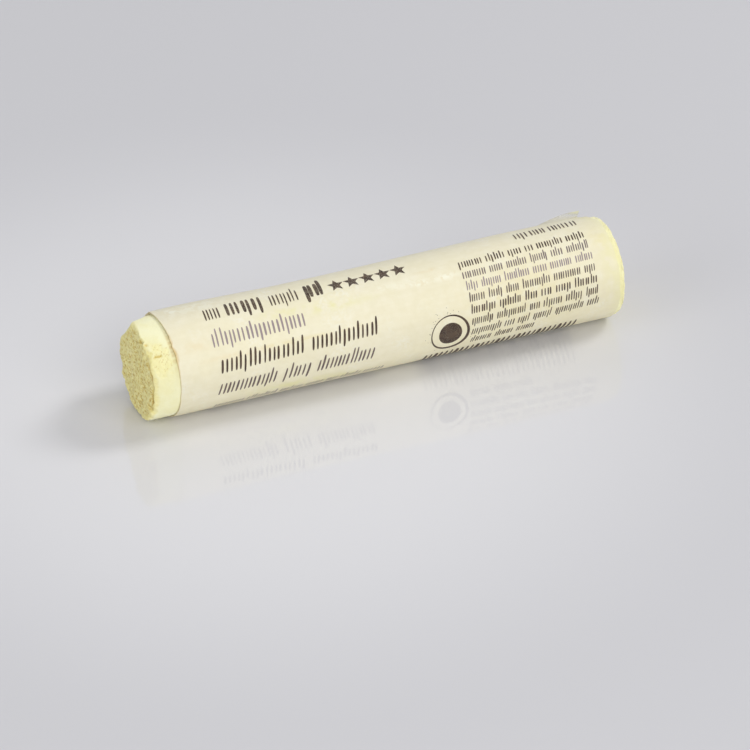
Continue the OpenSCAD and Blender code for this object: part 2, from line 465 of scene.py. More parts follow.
def worn_end():
    """The worn face and its rim. Each ring is cut down by the knocked corner, and moved
    in by swells and grain, the lost flakes, the slits and a torn groove along the rim."""
    rings = end_rings(worn_rim, face_ring_count, rim_ring_count)
    distance, radius, share = (v[:, None] for v in rings)
    a = ring_a
    r = radius * np.minimum(1, corner_limit(distance, a) / stick_r)
    y = -r * cos_d(a)
    z = r * sin_d(a)
    spot = points_of(y, z, 0)
    near_rim = (radius / stick_r) ** 8
    slit = face_slits(y, z) * (1 - 0.85 * soft_ramp(radius, stick_r - 0.95, stick_r - 0.4))
    lip = sum(round_bump(a, at, half) for at, half in lips)
    groove = lip * bump(radius - groove_r - 0.3 * lumps(spot, 1.2, seed=31), groove_half)
    inwards = share * broken(y, z, face_rough) + near_rim * rim_lost(a)
    inwards = inwards + share * (pore_depth * slit + groove_depth * groove)
    inwards = inwards + fine_grain * (0.3 + 0.7 * share) * rough(spot, 0.5, seed=35)
    depth, dark, fresh = side_damage(left_end + distance + 0 * a, a + 0 * distance)
    r = r - 0.3 * flake(a) * near_rim * share - (1 - share) * depth
    points = ring_points_at(left_end + distance + inwards, r, a)
    # Painted shade in the face's slits and groove, and in the side's hollows
    pit_shade_and_seam = np.maximum(share * np.maximum(slit, groove), (1 - share) * dark)
    return points, pit_shade_and_seam, (1 - share) * (1 - fresh) + 0 * r


def side_rings():
    """The side: dense over the bare length, sparse under the sleeve and dense again over
    the stub. The knocked corner fades out along it, and the stub has crumbled a little."""
    bare = np.linspace(worn_rim, bare_l + 0.15, bare_rings + 1)[1:]
    stub = np.linspace(stick_l - stub_l - 0.15, stick_l - far_rim, stub_rings + 1)[:-1]
    covered = np.linspace(bare[-1], stub[0], covered_rings + 2)[1:-1]
    depth_in = np.concatenate([bare, covered, stub])[:, None]
    x = left_end + depth_in + 0 * ring_a
    a = ring_a + 0 * x
    spot = points_of(x, stick_r * cos_d(a), stick_r * sin_d(a))
    depth, dark, fresh = side_damage(x, a)
    # Painted shade of the side's hollows, with the dark golden seam beside the sleeve's edge
    dark = np.maximum(dark, golden_seam(x, a, spot))
    crumble = ramp(x, sleeve_right - 0.1, sleeve_right + 0.5)
    r = np.minimum(stick_r + off_true(x, a), corner_limit(depth_in, a)) - depth
    r = r - side_relief * rough(spot, 0.4, seed=37) - side_hollows * np.abs(rough(spot, 2.0, seed=38))
    lost = np.maximum(-0.3, rough(spot, 1.1, seed=39, layers=4))
    r = r - crumble * (stub_loss + stub_relief * lost)
    follow = 1 - ramp(depth_in, worn_rim, rim_follow)
    points = ring_points_at(x + follow * rim_lost(a), r, a)
    return points, dark, (1 - fresh) * (1 - 0.25 * crumble)


def far_end():
    """The far face and its crumbled rim, in falling order of distance from the end."""
    rings = end_rings(far_rim, far_face_ring_count, rim_ring_count)
    distance, radius, share = (v[::-1, None] for v in rings)
    a = ring_a
    r = radius + 0 * a
    y = -r * cos_d(a)
    z = r * sin_d(a)
    spot = points_of(y, z, 7)
    slit = face_slits(z + 2, y)
    out_from_axis = radius / stick_r
    outwards = np.minimum(0, share * broken(z, -y, far_rough)) - share * crown_drop * out_from_axis**2
    outwards = outwards - share * 0.1 * slit - 0.06 * np.abs(rough(spot, 0.7, seed=43))
    lost = rough(spot + [0.3, 0, 0], 1.1, seed=39, layers=4)
    crumble = (1 - 0.7 * share) * (stub_loss + stub_relief * lost)
    points = ring_points_at(right_end - distance + outwards, r - crumble * out_from_axis, a)
    # The far face's slits get painted shade too
    return points, 0.6 * share * slit, 0.75 * (1 - share) + 0 * r


# %% [markdown]
# The three runs of rings are laid end to end, and each end is closed by a fan of
# triangles to a middle point. A positive volume shows that the faces point outwards.

# %% Make the stick
def make_stick():
    """The stick as one closed surface, with its values of painted pit shade and seam, and of skin."""
    runs = [worn_end(), side_rings(), far_end()]
    grid, pit_shade_and_seam, skin = (np.concatenate([run[k] for run in runs]) for k in range(3))
    middles = np.stack([grid[0].mean(0), grid[-1].mean(0)])
    points = np.concatenate([grid.reshape(-1, 3), middles])
    quads = grid_quads(len(grid), ring_points, wrap=True)
    here = np.arange(ring_points)
    after = (here + 1) % ring_points
    last = (len(grid) - 1) * ring_points
    near = np.stack([np.full(ring_points, len(points) - 2), here, after], -1)
    far = np.stack([np.full(ring_points, len(points) - 1), last + after, last + here], -1)
    tris = np.concatenate([near, far])
    print("stick volume", round(volume(points, quads, tris)), "cubic mm")
    values = {"pit_shade_and_seam": np.append(pit_shade_and_seam, [0, 0]), "skin": np.append(skin, [0, 0])}
    return make_piece("pressed_stick", points, quads, tris, values)


stick = make_stick()
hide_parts("pastel_stick")
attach(stick, "root")

# %% [markdown]
# ## The rolled paper
# The sleeve is one sheet, rolled once round the stick with its end pasted over its
# start. It has two turns of paper over 60 degrees of the upper back. Rolled by hand,
# it creeps along as it goes, and its edges are a little out of square. At the far end
# the corner of its free edge has come unstuck, and curls away from the stick.
#
# A cloth simulation would find its own creases, but this sheet is stretched tight and
# pasted, so its shape is known. It is a grid of place along the sheet by angle of roll,
# on both faces of the paper. Past the hinge of the loose corner the sheet leaves the
# roll along an arc, whose bend grows towards the far end.

# %% The sheet's rules, as in the solid
under_edge_angle = 70
overlap_angle = 60
drift = 0.3
edge_slant = 0.5
far_edge_slant = 0.15
paper_wave = 0.04
corner_sink = 0.6
corner_curl = 80
loose_l = 7.0
loose_angle = 12
tip_wear = 1.7
lap_ramp = 12
curl_build = 0.6
wear_angle = 24
lap_rise = paper_t + paste_t
roll_end = 360 + overlap_angle
hinge = roll_end - loose_angle
loose_w = sleeve_out_r * math.radians(loose_angle)
# The loose tip reaches 0.4 mm further than the solid's, where it has thinned to a point
tip_lean = 0.62


def roll_r(w):
    """Inner radius at roll angle w: it climbs over the pasted edge before a full turn."""
    return sleeve_in_r + lap_rise * ramp(w, 360 - lap_ramp, 360)


def wave(x, a):
    """Loose waves of the paper: one sine along the sheet and one round it."""
    along = sin_d(10 * x + 40 + 25 * sin_d(a))
    return paper_wave * (0.6 * along + 0.4 * sin_d(2 * a + 6.5 * x))


def dip(x, a):
    """How far the sheet sinks into the knocked corner: a share of the missing depth."""
    return corner_sink * np.maximum(0, stick_r - corner_limit(x - left_end, a))


# %% [markdown]
# ## Creases
# Paper that is rolled tight over a slightly uneven stick shows long shallow creases
# along the roll, most of them near the worn end where fingers hold it. They are noise
# stretched along X, a few hundredths of a millimetre high, and they live in the same
# rule that the ink uses, so that the print lies in them too. The worn-end edge hugs
# the stick, and stands off it near the top, where the knocked corner begins.

# %% Creases and the sheet's radius
crease_h = 0.014
dent_h = 0.016
ridge_h = 0.035
edge_hug = 0.04
# Lifts of the worn-end edge: height in mm, angle and half width in degrees
edge_lifts = [(0.08, 113, 8), (0.02, 45, 14)]


def creases(x, a):
    """Height of the fine relief in mm: long creases, small dents and, near the worn
    end, a few ridges, which run where lumps stretched along X pass through zero."""
    spot = points_of(x, sleeve_out_r * np.radians(a), 0)
    long = lumps(spot, (14, 2.0, 1), seed=51)
    dents = lumps(spot, (4.5, 2.6, 1), seed=52)
    ridges = bump(lumps(spot, (10, 3.2, 1), seed=53), 0.35)
    held = 1 - soft_ramp(x, sleeve_left + 3, sleeve_left + 12)
    above = soft_ramp(a, 45, 75)
    return crease_h * long + dent_h * dents + ridge_h * held * above * ridges


def edge_lift(x, a):
    """Height of the worn-end edge in mm: it hugs the stick, less so at its two lifts."""
    near = 1 - soft_ramp(x, sleeve_left, sleeve_left + 1.6)
    lifts = sum(height * round_bump(a, at, half) for height, at, half in edge_lifts)
    return near * (lifts - edge_hug)


def sheet_r(x, w):
    """Radius of the sheet's inner face at station x and roll angle w."""
    a = under_edge_angle + w
    base = roll_r(w) + wave(x, a) + off_true(x, a) - dip(x, a)
    outer_turn = soft_ramp(w, 50, 70)
    return base + outer_turn * (creases(x, turn_between(a, 0)) + edge_lift(x, a))


# %% [markdown]
# ## The sheet's own grid
# Rows are closer together near both edges, where the paper is ragged. The worn-end
# edge is more torn on its upper front, and the pasted start of the sheet hides just
# behind it, so that it doesn't show as a second line.

# %% The sheet as a grid
sheet_rows = 204
roll_columns = 230
curl_columns = 14
# How far the pasted start of the sheet hides behind its own end, in mm
tucked = 0.45
# Distance from a cut edge over which its raggedness fades, in mm
rag_reach = 1.2
# The most torn part of the worn-end edge: angle and half width, and how much more
torn_at, torn_more = (50, 26), 1.6


def ragged(a, seed):
    """Small unevenness of a cut edge round the roll, in mm."""
    spot = points_of(sleeve_out_r * np.radians(a), 0, 0)
    return 0.05 * rough(spot, 2.2, seed) + 0.02 * rough(spot, 0.5, seed + 5)


def sheet_points(u, w, depth):
    """Points of the sheet at place u along it, 0 to 1, and roll angle w, at a depth of 0
    on its inner face and paper_t on its outer face. Past the hinge it leaves the roll
    along an arc of radius w / bend, and depth is measured square to the bent paper."""
    flat_a = under_edge_angle + w
    slant = np.where(u < 0.5, edge_slant, far_edge_slant) * np.abs(1 - 2 * u) * cos_d(flat_a)
    free = ramp(w, hinge, roll_end)
    from_left = u * sleeve_l
    from_right = sleeve_l - from_left
    loose = ramp(from_left, sleeve_l - loose_l, sleeve_l)
    wear = tip_wear * ramp(w, hinge - wear_angle, hinge) * (1 - tip_lean * free) * loose
    torn = 1 + torn_more * round_bump(flat_a, *torn_at)
    left_rag = torn * ragged(flat_a, 61) * (1 - soft_ramp(from_left, 0, rag_reach))
    right_rag = (1.8 * ragged(flat_a, 62) - 0.2) * (1 - soft_ramp(from_right, 0, rag_reach))
    tuck = tucked * (1 - soft_ramp(w, 45, 75)) * (1 - soft_ramp(from_left, 0, 2.5))
    x = sleeve_left + from_left + slant - wear + drift * (w / 360 - 0.5)
    x = x + left_rag + right_rag + tuck
    bend = corner_curl * ramp(from_left, sleeve_l - loose_l, sleeve_l - (1 - curl_build) * loose_l) * free
    out = loose_w * free * sin_d(bend / 2) + depth * cos_d(bend)
    back = loose_w * free * (1 - cos_d(bend / 2)) + depth * sin_d(bend)
    near_r = sheet_r(x, w)
    r = near_r + out
    a = flat_a - np.degrees(back / near_r)
    z = np.maximum(axis_z + r * sin_d(a), paper_t - depth)
    return points_of(x, -r * cos_d(a), z), free * loose


# %% [markdown]
# ## Stains
# Fingers and chalk have marked the paper. Each stain is a soft bump at a place on the
# sheet, and brings some of three things: a warm brown tone, a yellow one and pale caked
# powder. The sums are stored on the mesh, and the material breaks them up with noise.

# %% Stains and edges
# Place along X and angle, half widths in mm and degrees, then warm, yellow and powder
stains = [
    (-27.6, 100, 0.9, 4, 0.0, 0.0, 0.9),
    (-24.5, 98, 5.0, 13, 0.0, 0.0, 0.6),
    (-27.0, 45, 3.5, 6, 0.35, 0.0, 0.0),
    (-21.0, 27, 4.5, 3, 0.45, 0.0, 0.0),
    (-12.0, 28, 8.0, 2, 0.45, 0.2, 0.0),
    (-8.0, 57, 5.0, 5, 0.0, 0.65, 0.0),
    (-14.0, 62, 4.0, 4, 0.0, 0.5, 0.0),
    (-14.5, -30, 5.0, 6, 0.0, 0.7, 0.0),
    (-8.0, -36, 4.0, 6, 0.0, 0.6, 0.0),
    (4.6, 60, 1.6, 3, 0.3, 0.0, 1.0),
    (8.2, 61, 1.4, 4, 0.3, 0.0, 1.0),
    (0.5, 64, 3.0, 4, 0.0, 0.0, 0.5),
    (6.3, 73, 1.6, 2, 0.5, 0.0, 0.0),
    (18.5, 20, 9.0, 42, 0.3, 0.15, 0.0),
    (30.4, 30, 1.4, 45, 0.0, 0.35, 0.0),
    (30.0, 66, 1.3, 14, 0.3, 0.2, 0.0),
]


def stained(x, a):
    """Warm, yellow and powder amounts: every stain is a bump, and they add up."""
    total = np.zeros((3, *np.shape(x)))
    for at_x, at_a, half_x, half_a, *amounts in stains:
        spot = spot_bump(x, a, (at_x, at_a), (half_x, half_a))
        total += np.array(amounts)[:, None, None] * spot
    return total


def edge_stain(from_left, a):
    """How golden the worn-end edge is: a thin line, wider and patchy on the upper front."""
    golden = round_bump(a, seam_angle, seam_half[1])
    spot = points_of(from_left, sleeve_out_r * np.radians(a), 0)
    patchy = np.clip(0.75 + 0.8 * lumps(spot, 0.7, seed=65), 0.1, 1)
    return (0.4 + 0.6 * golden) * (1 - ramp(from_left, 0, 0.08 + 0.42 * golden * patchy))


# %% Make the sheet
def make_sheet():
    """The sheet as one closed surface: each row of points runs over its outer face and
    back under its inner face, and the two cut ends are closed with a strip of squares."""
    u = (0.5 - 0.5 * np.cos(np.pi * np.linspace(0, 1, sheet_rows)))[:, None]
    curl = np.linspace(hinge, roll_end, curl_columns + 1)[1:]
    w = np.concatenate([np.linspace(0, hinge, roll_columns), curl])[None, :]
    u, w = np.broadcast_arrays(u, w)
    outer, loose = sheet_points(u, w, paper_t)
    inner, _ = sheet_points(u, w, 0.0)
    columns = outer.shape[1]
    points = np.concatenate([outer, inner[:, ::-1]], 1).reshape(-1, 3)
    round_it = 2 * columns
    quads = grid_quads(sheet_rows, round_it, wrap=True)
    j = np.arange(columns - 1)
    k = round_it - 1 - j
    near = np.stack([j, j + 1, k - 1, k], -1)
    far = (sheet_rows - 1) * round_it + near[:, ::-1]
    quads = np.concatenate([quads, near, far])
    inside = volume(points, quads, np.empty((0, 3), int))
    print("sheet volume", round(inside), "cubic mm")
    from_left = u * sleeve_l
    a = turn_between(under_edge_angle + w, 0)
    warm, yellow, powder = soft_ramp(w, 70, 100) * stained(sleeve_left + from_left, a)
    far_edge = ramp(from_left, sleeve_l - 1.6, sleeve_l)
    values = {"loose": loose, "edge": edge_stain(from_left, a), "far_edge": far_edge}
    values |= {"warm": warm, "yellow": yellow, "powder": powder}
    values = {key: np.concatenate([v, v[:, ::-1]], 1).ravel() for key, v in values.items()}
    return make_piece("rolled_sheet", points, quads, values=values, sharp_from=50)


sheet = make_sheet()
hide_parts("paper_sleeve")
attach(sheet, "root")

# %% [markdown]
# ## The print
# A real sleeve carries the colour's name and numbers in several sizes of type. None of
# that is drawn here. Each line is stood for by rows of short rounded strokes in groups,
# which give the same weight of ink, with plain stars, a ring round a plain disc and a
# run of stripes where the real sheet has marks of those sizes.
#
# The ink could be painted by the paper's material, but strokes 0.15 mm wide would need
# a very large picture. A film of small patches stays sharp at any distance. Each patch
# is a grid in the flat sheet's millimetres, along it and round it, which is then laid on
# the outer face of the paper by the paper's own rule, 0.015 mm proud.

# %% Laying a flat pattern on the sheet
ink_gap = 0.015


def lay_on_sheet(flat):
    """Points given as mm along X and mm round from the front line, on the outer paper."""
    x = flat[..., 0]
    a = np.degrees(flat[..., 1] / sleeve_out_r)
    r = sheet_r(x, a + 360 - under_edge_angle) + paper_t + ink_gap
    return points_of(x, -r * cos_d(a), axis_z + r * sin_d(a))


class InkFilm:
    """Collects patches of ink and makes them one piece."""

    def __init__(self):
        self.parts = []
        self.count = 0

    def add(self, flat, quads, tris=np.empty((0, 3), int), faded=0.0, rubbed=0.0):
        """Adds patches whose points are flat, n patches by m points by 2."""
        number, size = flat.shape[:2]
        shift = self.count + size * np.arange(number)[:, None, None]
        faces = [(quads + shift).reshape(-1, 4), (tris + shift).reshape(-1, 3)]
        wear = [np.full(number * size, faded), np.full(number * size, rubbed)]
        self.parts.append([lay_on_sheet(flat).reshape(-1, 3), *faces, *wear])
        self.count += number * size

    def outwards(self, points, faces):
        """Turns every face whose normal points at the stick's axis."""
        corner = points[faces]
        normal = np.cross(corner[:, 1] - corner[:, 0], corner[:, 2] - corner[:, 0])
        arm = corner[:, 0] - [0, 0, axis_z]
        arm[:, 0] = 0
        inward = np.einsum("ij,ij->i", normal, arm) < 0
        return np.where(inward[:, None], faces[:, ::-1], faces)

    def make(self, name):
        """All patches as one piece, with a faded and a rubbed value per point."""
        points, quads, tris, faded, rubbed = (np.concatenate(kind) for kind in zip(*self.parts))
        quads = self.outwards(points, quads)
        tris = self.outwards(points, tris)
        return make_piece(name, points, quads, tris, {"faded": faded, "rubbed": rubbed})


ink = InkFilm()


# %% Strokes, discs, rings and stars
def directions(sides):
    """Unit directions round a point in the flat sheet, from straight up and clockwise."""
    turn = 2 * np.pi * np.arange(sides) / sides
    return np.stack([np.sin(turn), np.cos(turn)], -1)


def add_strokes(start, end, width, steps, **ink_values):
    """Strokes from start to end, n by 2 in flat mm: a grid of steps + 1 rows by 3
    columns, whose half width is width / 2 in the middle and narrows over both ends."""
    p = 0.5 - 0.5 * np.cos(np.pi * np.arange(steps + 1) / steps)
    narrow = 0.5 + 0.5 * (1 - np.abs(2 * p - 1) ** 5)
    along = end - start
    length = np.linalg.norm(along, axis=1, keepdims=True)
    square = np.stack([-along[:, 1], along[:, 0]], -1) / length
    spine = start[:, None] + along[:, None] * p[None, :, None]
    half = 0.5 * width[:, None] * narrow[None]
    side = square[:, None, None] * (half[:, :, None] * np.array([-1, 0, 1]))[..., None]
    flat = (spine[:, :, None] + side).reshape(len(start), -1, 2)
    ink.add(flat, grid_quads(steps + 1, 3), **ink_values)


def add_rosette(centres, outline, rings=5, **ink_values):
    """Filled shapes round centres: rings of points at equal shares of an outline, which
    is the radius in each direction, closed to a middle point by triangles."""
    sides = len(outline)
    edge = directions(sides) * outline[:, None]
    share = np.arange(1, rings + 1)[:, None, None] / rings
    shape = np.concatenate([(edge * share).reshape(-1, 2), [[0, 0]]])
    here = np.arange(sides)
    tris = np.stack([here, (here + 1) % sides, np.full(sides, rings * sides)], -1)
    flat = np.atleast_2d(centres)[:, None] + shape[None]
    ink.add(flat, grid_quads(rings, sides, wrap=True), tris, **ink_values)


def add_ring(centre, inner, outer):
    """A flat ring, four points wide, whose inner radius is given in each direction."""
    share = np.linspace(0, 1, 4)[:, None, None]
    radius = inner[:, None] + (outer - inner[:, None]) * share
    flat = (np.asarray(centre) + directions(len(inner)) * radius).reshape(1, -1, 2)
    ink.add(flat, grid_quads(4, len(inner), wrap=True))


def star_outline(radius, waist, per_edge):
    """Radius of a five-pointed star in each direction: straight edges between points at
    radius and waists at waist, by the law of a line in polar form."""
    count = 10 * per_edge
    turn = 2 * np.pi * np.arange(count) / count
    step = math.pi / 5
    inside = np.abs((turn + step) % (2 * step) - step)
    return radius * waist * math.sin(step) / (
        waist * np.sin(step - inside) + radius * np.sin(inside)
    )


# %% [markdown]
# A row of type from a step away is a grey texture: upright strokes of one weight, some
# taller, some broken, in groups of uneven length. Each row gets its own place, height,
# weight, lean and state of wear. The rows climb slightly, because the sheet was rolled
# a little askew.

# %% Rows of strokes
row_rng = np.random.default_rng(77)
# Share of strokes that hang below the row and how far, and of those that stand above it
tail_chance, tail_depth = 0.08, 0.3
tall_chance, tall_height = 0.16, 1.36


def add_row(groups, base, height, weight, climb, lean, spread, faded, rubbed):
    """Groups of upright strokes, each group from start to end in mm along X. base is
    the row's height round the sheet at its first group, and climb its rise per mm.
    spread is the pitch of the strokes, as a multiple of their weight."""
    first = groups[0][0]
    for start, end in groups:
        count = max(2, round((end - start - weight) / (spread * weight)) + 1)
        x = np.linspace(start + weight / 2, end - weight / 2, count)
        x = x + row_rng.uniform(-0.25, 0.25, count) * weight
        kind = row_rng.random(count)
        low = np.where(kind < tail_chance, -tail_depth, 0.0) * height
        top = np.where(kind > 1 - tall_chance, tall_height, 1.0) * height
        row = base + climb * (x - first)
        bold = weight * row_rng.uniform(0.85, 1.15, count)
        foot = np.stack([x + lean * low, row + low], -1)
        head = np.stack([x + lean * top, row + top], -1)
        steps = max(4, round(4.5 * height))
        add_strokes(foot, head, bold, steps, faded=faded, rubbed=rubbed)


def split_line(start, end, seed):
    """Groups of random length, 1 to 3.6 mm, stretched to fill a line."""
    rng = np.random.default_rng(seed)
    lengths = rng.uniform(1.0, 3.6, round((end - start) / 3.1))
    gap = 0.62
    scale = (end - start - gap * (len(lengths) - 1)) / lengths.sum()
    ends = start + np.cumsum(lengths * scale + gap) - gap
    return list(zip(ends - lengths * scale, ends))


# Groups, base, height, weight, climb, lean, spread, faded and rubbed
rows = [
    # Bold and light groups along the top
    ([(-24.0, -21.95)], 8.3, 1.85, 0.2, 0.015, 0.1, 2.2, 0.0, 0.0),
    ([(-21.15, -16.2)], 8.35, 2.2, 0.42, 0.015, 0.1, 1.9, 0.0, 0.4),
    ([(-15.1, -11.35)], 8.45, 1.9, 0.2, 0.015, 0.1, 2.4, 0.0, 0.25),
    ([(-10.35, -7.85)], 8.5, 2.4, 0.46, 0.015, 0.1, 1.75, 0.0, 0.4),
    # Three large rows: faded, dark, and slanted
    ([(-24.1, -11.6)], 4.62, 1.75, 0.25, 0.014, 0.05, 2.3, 1.0, 0.35),
    ([(-23.7, -12.6), (-11.4, -2.5)], 1.16, 1.72, 0.27, 0.027, 0.14, 2.3, 0.0, 0.0),
    ([(-24.1, -16.5), (-15.3, -12.0), (-10.8, -3.3)], -2.05, 1.72, 0.25, 0.014, 0.24, 2.3, 0.25, 0.0),
    # Two small rows near the underside
    (split_line(-24.2, -1.4, 5), -5.4, 1.05, 0.15, 0.01, 0.2, 2.9, 0.3, 0.0),
    (split_line(-24.2, -1.6, 6), -8.1, 1.05, 0.15, 0.01, 0.2, 2.9, 0.3, 0.0),
    # The short row at the upper right
    ([(19.5, 21.2), (21.8, 23.8), (24.4, 27.1), (27.6, 28.3)], 10.5, 1.45, 0.2, 0.035, 0.1, 2.3, 0.0, 0.0),
]
for row in rows:
    add_row(*row)
print("rows of strokes:", len(rows))

# %% The block of fine rows
fine_left = 10.4
fine_right = 28.15
fine_short = 19.2
fine_first = 7.75
fine_pitch = 1.535
fine_height = 0.92
# Each fine row's fading, and its weight and lean
fine_faded = [0, 0.45, 1.0, 0.2, 0.1, 0.05, 0.1, 0.1]
fine_weight = [0.19, 0.165, 0.165, 0.165, 0.19, 0.165, 0.165, 0.165]
fine_lean = [0.12, 0.12, 0.12, 0.12, 0.12, 0.12, 0.22, 0.22]
for k, (faded, weight, lean) in enumerate(zip(fine_faded, fine_weight, fine_lean)):
    line_end = fine_short if k == len(fine_faded) - 1 else fine_right
    words = split_line(fine_left, line_end, seed=100 + k)
    base = fine_first - k * fine_pitch
    add_row(words, base, fine_height, weight, 0.028, lean, 1.95, faded, 0.2 * faded)
print("fine rows:", len(fine_faded))

# %% Stars, the round mark, stripes and stray specks
star_r = 1.12
star_waist = 0.5
star_x = -5.9 + 2.15 * np.arange(5)
star_around = 9.62 + 0.022 * (star_x - star_x[0])
add_rosette(np.stack([star_x, star_around], -1), star_outline(star_r, star_waist, 4), rubbed=0.45)

mark = (7.48, -0.55)
mark_r = 2.68
mark_disc_r = 1.6
ring_sides = 96
ring_turn = 2 * np.pi * np.arange(ring_sides) / ring_sides
ring_wide = 0.12 + 0.3 * (0.5 - 0.5 * np.cos(ring_turn + 0.9))
add_ring(mark, mark_r - ring_wide, mark_r)
add_rosette([mark], np.full(64, mark_disc_r), rings=12, rubbed=0.2)

stripe_count = 30
stripe_l = 4.6
stripe_x = 4.75 + 0.72 * np.arange(stripe_count)
stripe_wide = np.array([0.36, 0.3, 0.56, 0.4])[np.arange(stripe_count) % 4]
stripe_top = -4.15 + 0.031 * (stripe_x - stripe_x[0])
foot = np.stack([stripe_x - 0.1, stripe_top - stripe_l], -1)
head = np.stack([stripe_x, stripe_top], -1)
add_strokes(foot, head, stripe_wide, steps=16)

speck_rng = np.random.default_rng(9)
speck_count = 26
speck_r = 0.045
speck_turn = speck_rng.uniform(0, 2 * np.pi, speck_count)
speck_far = mark_r + speck_rng.exponential(0.35, speck_count) + 0.1
specks = np.array(mark) + np.stack([np.sin(speck_turn), np.cos(speck_turn)], -1) * speck_far[:, None]
add_rosette(specks, np.full(6, speck_r), rings=1)

print_film = ink.make("sleeve_print")
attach(print_film, "root")


# %% [markdown]
# ## Finishes
# Colours are written as they would be mixed, in sRGB steps of 0 to 255, and turned to
# Blender's linear values. A few small helpers keep node trees readable: they add a node,
# mix two colours by a mask, do one step of arithmetic, and open or place a node group.

# %% Colour and node helpers
def srgb(red, green, blue):
    """Linear colour from sRGB steps: ((c + 0.055) / 1.055)^2.4 above the toe."""
    c = np.array([red, green, blue]) / 255
    linear = np.where(c <= 0.04045, c / 12.92, ((c + 0.055) / 1.055) ** 2.4)
    return (*linear.tolist(), 1.0)


def node(tree, kind, inputs=None, **settings):
    """Adds a node, sets its properties, and fills or links its inputs, which are given
    by name, or by number where a node has several of one name."""
    made = tree.nodes.new(kind)
    for key, value in settings.items():
        setattr(made, key, value)
    for key, value in (inputs or {}).items():
        if isinstance(value, bpy.types.NodeSocket):
            tree.links.new(value, made.inputs[key])
        else:
            made.inputs[key].default_value = value
    return made


def mix(tree, mask, below, above):
    """A colour that goes from below to above as mask goes from 0 to 1."""
    return node(tree, "ShaderNodeMix", {0: mask, 6: below, 7: above}, data_type="RGBA").outputs[2]


def math_of(tree, operation, first, second, clamp=False):
    """One step of arithmetic on values."""
    inputs = {0: first, 1: second}
    return node(tree, "ShaderNodeMath", inputs, operation=operation, use_clamp=clamp).outputs[0]


def times(tree, value, share):
    """A value times a share, kept from 0 to 1."""
    return math_of(tree, "MULTIPLY", value, share, clamp=True)


def noise(tree, place, scale, detail):
    """Blender's own noise, with so many lumps to the metre."""
    inputs = {"Vector": place, "Scale": scale, "Detail": detail}
    return node(tree, "ShaderNodeTexNoise", inputs).outputs["Fac"]


def levels(tree, value, low, high, **settings):
    """Spreads the part of a value from low to high over 0 to 1."""
    spread = {"Value": value, "From Min": low, "From Max": high}
    return node(tree, "ShaderNodeMapRange", spread, **settings).outputs["Result"]


def stretched(tree, place, amounts):
    """A place, stretched or squeezed along each axis."""
    return node(tree, "ShaderNodeVectorMath", {0: place, 1: amounts}, operation="MULTIPLY").outputs[0]


def attribute(tree, name):
    """A value that is stored on the mesh's points."""
    return node(tree, "ShaderNodeAttribute", attribute_name=name).outputs["Fac"]


def new_group(name, inputs, outputs):
    """A node group with named sockets. inputs are (name, kind, default)."""
    tree = bpy.data.node_groups.new(name, "ShaderNodeTree")
    for label, kind, default in inputs:
        socket = tree.interface.new_socket(name=label, in_out="INPUT", socket_type=kind)
        if default is not None:
            socket.default_value = default
    for label, kind in outputs:
        tree.interface.new_socket(name=label, in_out="OUTPUT", socket_type=kind)
    enter = tree.nodes.new("NodeGroupInput").outputs
    leave = tree.nodes.new("NodeGroupOutput").inputs
    return tree, enter, leave


def use_group(tree, group, **inputs):
    """Places a node group in a tree, with its inputs filled or linked by name."""
    inputs = {key.replace("_", " "): value for key, value in inputs.items()}
    return node(tree, "ShaderNodeGroup", inputs, node_tree=group).outputs


def new_material(name, finish):
    """A material with one Principled shader, and its tree, shader and Object place.
    finish fills the shader's inputs by name."""
    material = bpy.data.materials.new(name)
    material.use_nodes = True
    tree = material.node_tree
    tree.nodes.clear()
    shader = node(tree, "ShaderNodeBsdfPrincipled", finish)
    node(tree, "ShaderNodeOutputMaterial", {"Surface": shader.outputs["BSDF"]})
    place = tree.nodes.new("ShaderNodeTexCoord").outputs["Object"]
    return material, tree, shader, place


# %% [markdown]
# ## Effects that several finishes share
# Soft patches of uneven tone turn up on chalk, paper and ink. A fine grain, for the
# bump, and the loose pale powder that a pastel leaves on all that it touches turn up on
# chalk and paper. Each is a node group.

# %% Shared node groups
FLOAT, VECTOR, COLOR = "NodeSocketFloat", "NodeSocketVector", "NodeSocketColor"
WHITE = (1.0, 1.0, 1.0, 1.0)


def patches_group():
    """Noise of a given size in mm, spread between two levels into a 0 to 1 mask."""
    inputs = [("Place", VECTOR, None), ("Size mm", FLOAT, 4.0), ("Low", FLOAT, 0.4)]
    inputs += [("High", FLOAT, 0.6), ("Detail", FLOAT, 3.0)]
    tree, enter, leave = new_group("Soft patches", inputs, [("Mask", FLOAT)])
    scale = math_of(tree, "DIVIDE", 1 / MM, enter["Size mm"])
    cloudy = noise(tree, enter["Place"], scale, enter["Detail"])
    mask = levels(tree, cloudy, enter["Low"], enter["High"], interpolation_type="SMOOTHSTEP")
    tree.links.new(mask, leave["Mask"])
    return tree


def grain_group():
    """Height of a fine grain: two noises, the second a third of the size of the first."""
    inputs = [("Place", VECTOR, None), ("Size mm", FLOAT, 0.2), ("Stretch", VECTOR, (1.0, 1.0, 1.0))]
    tree, enter, leave = new_group("Fine grain", inputs, [("Height", FLOAT)])
    scale = math_of(tree, "DIVIDE", 1 / MM, enter["Size mm"])
    pulled = stretched(tree, enter["Place"], enter["Stretch"])
    coarse = noise(tree, pulled, scale, 4.0)
    finer = noise(tree, pulled, math_of(tree, "MULTIPLY", scale, 3.1), 2.0)
    height = math_of(tree, "ADD", coarse, math_of(tree, "MULTIPLY", finer, 0.4))
    tree.links.new(height, leave["Height"])
    return tree


